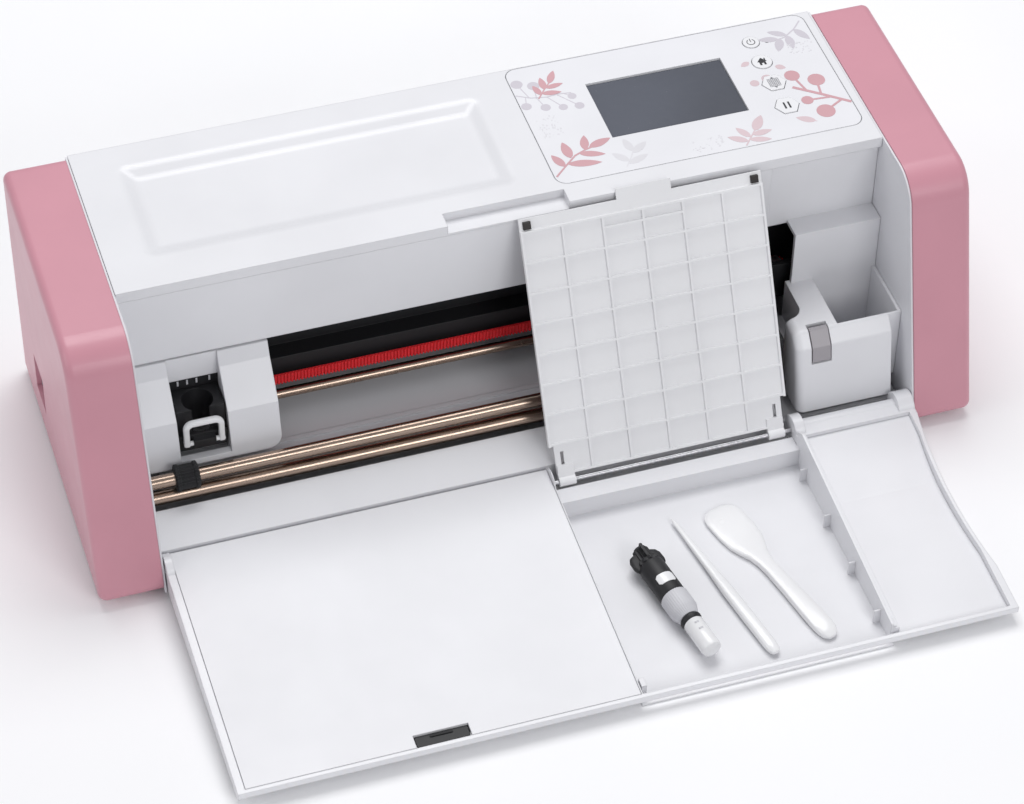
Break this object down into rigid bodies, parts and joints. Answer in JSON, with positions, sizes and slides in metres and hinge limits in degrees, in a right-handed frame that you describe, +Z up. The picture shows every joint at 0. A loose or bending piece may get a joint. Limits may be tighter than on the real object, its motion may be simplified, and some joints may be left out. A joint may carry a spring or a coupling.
{
  "type": "die cutting machine",
  "caption": "Desktop die cutting machine with rose side covers, an opened front cover and compartment lid, touch panel, cutting carriage, feed rollers, storage bin and blade tools.",
  "frame": {"origin": "on the table under the middle of the machine with its cover opened flat", "axes": "+X to the right across the machine, -Y out of the front towards the user, +Z up"},
  "size_m": [0.531, 0.361, 0.1629],
  "materials": {
    "pink_shell": "satin rose pink, fine moulded grain",
    "white_shell": "satin white",
    "liner_white": "matte white",
    "panel_print": "glossy white with printed leaf sprigs",
    "screen_glass": "dark slate display, smooth",
    "key_plastic": "white keys with grey symbols",
    "black_plastic": "matte black",
    "inner_white": "smooth satin white",
    "lid_grey": "satin light grey",
    "rod_steel": "ground and polished, warm reflections",
    "black_rubber": "matte, ground",
    "belt_red": "toothed, matte red",
    "motor_metal": "dark grey motor casing",
    "bush_bronze": "sintered bearing bronze",
    "pulley_metal": "turned",
    "board_green": "solder mask green",
    "lever_grey": "satin warm grey",
    "magnet_black": "dark plated",
    "screw_steel": "zinc plated",
    "tool_white": "glossy white",
    "holder_grey": "light grey and black, satin",
    "led_lens": "small dark lens"
  },
  "bodies": {
    "chassis": {"left_side_cover": "pink_shell", "right_side_cover": "pink_shell", "left_liner": "liner_white", "right_liner": "liner_white", "grip_cups": "liner_white", "top_cover": "white_shell", "control_panel": "panel_print", "display_glass": "screen_glass", "display_module": "board_green", "status_led": "led_lens", "fascia": "white_shell", "rear_cover": "white_shell", "power_inlet": "black_plastic", "usb_port": "screw_steel", "base_pan": "inner_white", "feet": "black_rubber", "case_screws": "screw_steel", "front_ledge": "inner_white", "platen": "inner_white", "main_board": "board_green", "power_supply": "motor_metal", "bearing_plate": "black_plastic", "roller_bushes": "bush_bronze", "feed_belt": "black_rubber", "feed_motor": "motor_metal", "rail_plate": "black_plastic", "guide_rod": "rod_steel", "drive_belt": "belt_red", "carriage_motor": "motor_metal", "idler_bracket": "black_plastic", "scanner_bar": "black_plastic", "storage_bin": "inner_white", "cover_hinge_pins": "screw_steel"},
    "front_cover": {"front_cover": "white_shell", "mat_panel": "inner_white", "accessory_tray": "inner_white", "blade_holder": "holder_grey", "blade_tip_cap": "tool_white", "blade_holder_knob": "black_plastic", "spatula": "tool_white", "hook_tool": "tool_white"},
    "lid_pin": {"lid_hinge_pin": "screw_steel"},
    "compartment_lid": {"compartment_lid": "lid_grey", "lid_magnets": "magnet_black"},
    "carriage": {"carriage_cover": "white_shell", "carriage_frame": "black_plastic"},
    "tool_holder": {"tool_holder": "black_plastic"},
    "clamp_lever": {"clamp_lever": "tool_white"},
    "feed_roller": {"feed_roller": "rod_steel", "feed_pulley": "pulley_metal"},
    "pinch_roller": {"pinch_shaft": "rod_steel", "pinch_rollers": "black_rubber"},
    "motor_pulley": {"motor_pulley": "pulley_metal"},
    "drive_pulley": {"drive_pulley": "pulley_metal"},
    "idle_pulley": {"idle_pulley": "pulley_metal"},
    "power_key": {"power_key": "key_plastic"},
    "home_key": {"home_key": "key_plastic"},
    "mat_key": {"mat_key": "key_plastic"},
    "pause_key": {"pause_key": "key_plastic"},
    "sensor_lever": {"sensor_lever": "lever_grey"}
  },
  "joints": [
    {"name": "cover_hinge", "type": "hinge", "parent": "chassis", "child": "front_cover", "pos_m": [0, -0.0175, 0.016], "axis": [-1, 0, 0], "range_deg": [0, 115]},
    {"name": "lid_pin_hold", "type": "hinge", "parent": "front_cover", "child": "lid_pin", "pos_m": [0, -0.0175, 0.016], "axis": [1, 0, 0], "range_deg": [0, 115]},
    {"name": "lid_hinge", "type": "hinge", "parent": "lid_pin", "child": "compartment_lid", "pos_m": [0, -0.0175, 0.016], "axis": [-1, 0, 0], "range_deg": [-115, 0]},
    {"name": "carriage_slide", "type": "slide", "parent": "chassis", "child": "carriage", "axis": [1, 0, 0], "range_m": [0, 0.29]},
    {"name": "holder_lowering", "type": "slide", "parent": "carriage", "child": "tool_holder", "axis": [0, 0, -1], "range_m": [0, 0.006], "stiffness_N_per_m": 40},
    {"name": "clamp_hinge", "type": "hinge", "parent": "tool_holder", "child": "clamp_lever", "pos_m": [-0.1875, 0.0372, 0.0555], "axis": [1, 0, 0], "range_deg": [0, 60]},
    {"name": "feed_turn", "type": "hinge", "parent": "chassis", "child": "feed_roller", "pos_m": [0, 0.0235, 0.0317], "axis": [1, 0, 0], "continuous": true},
    {"name": "pinch_turn", "type": "hinge", "parent": "chassis", "child": "pinch_roller", "pos_m": [0, 0.0235, 0.0444], "axis": [1, 0, 0], "continuous": true},
    {"name": "feed_motor_turn", "type": "hinge", "parent": "chassis", "child": "motor_pulley", "pos_m": [-0.235, 0.0775, 0.0317], "axis": [1, 0, 0], "continuous": true},
    {"name": "drive_pulley_turn", "type": "hinge", "parent": "chassis", "child": "drive_pulley", "pos_m": [-0.2465, 0.0723, 0.0615], "axis": [0, 0, 1], "range_deg": [0, 2960]},
    {"name": "idle_pulley_turn", "type": "hinge", "parent": "chassis", "child": "idle_pulley", "pos_m": [0.172, 0.0723, 0.0615], "axis": [0, 0, 1], "range_deg": [0, 2960]},
    {"name": "sensor_press", "type": "hinge", "parent": "chassis", "child": "sensor_lever", "pos_m": [0.1747, 0.0055, 0.056], "axis": [-1, 0, 0], "range_deg": [0, 6], "stiffness_Nm_per_rad": 0.02},
    {"name": "power_press", "type": "slide", "parent": "chassis", "child": "power_key", "axis": [0, 0, -1], "range_m": [0, 0.0006], "stiffness_N_per_m": 400},
    {"name": "home_press", "type": "slide", "parent": "chassis", "child": "home_key", "axis": [0, 0, -1], "range_m": [0, 0.0006], "stiffness_N_per_m": 400},
    {"name": "mat_press", "type": "slide", "parent": "chassis", "child": "mat_key", "axis": [0, 0, -1], "range_m": [0, 0.0006], "stiffness_N_per_m": 400},
    {"name": "pause_press", "type": "slide", "parent": "chassis", "child": "pause_key", "axis": [0, 0, -1], "range_m": [0, 0.0006], "stiffness_N_per_m": 400}
  ],
  "couplings": [
    {"joint": "lid_pin_hold", "follows": "cover_hinge", "ratio": 1},
    {"joint": "pinch_turn", "follows": "feed_turn", "ratio": -0.5375},
    {"joint": "feed_motor_turn", "follows": "feed_turn", "ratio": 1},
    {"joint": "drive_pulley_turn", "follows": "carriage_slide", "rad_per_m": 176.99},
    {"joint": "idle_pulley_turn", "follows": "carriage_slide", "rad_per_m": 176.99}
  ]
}
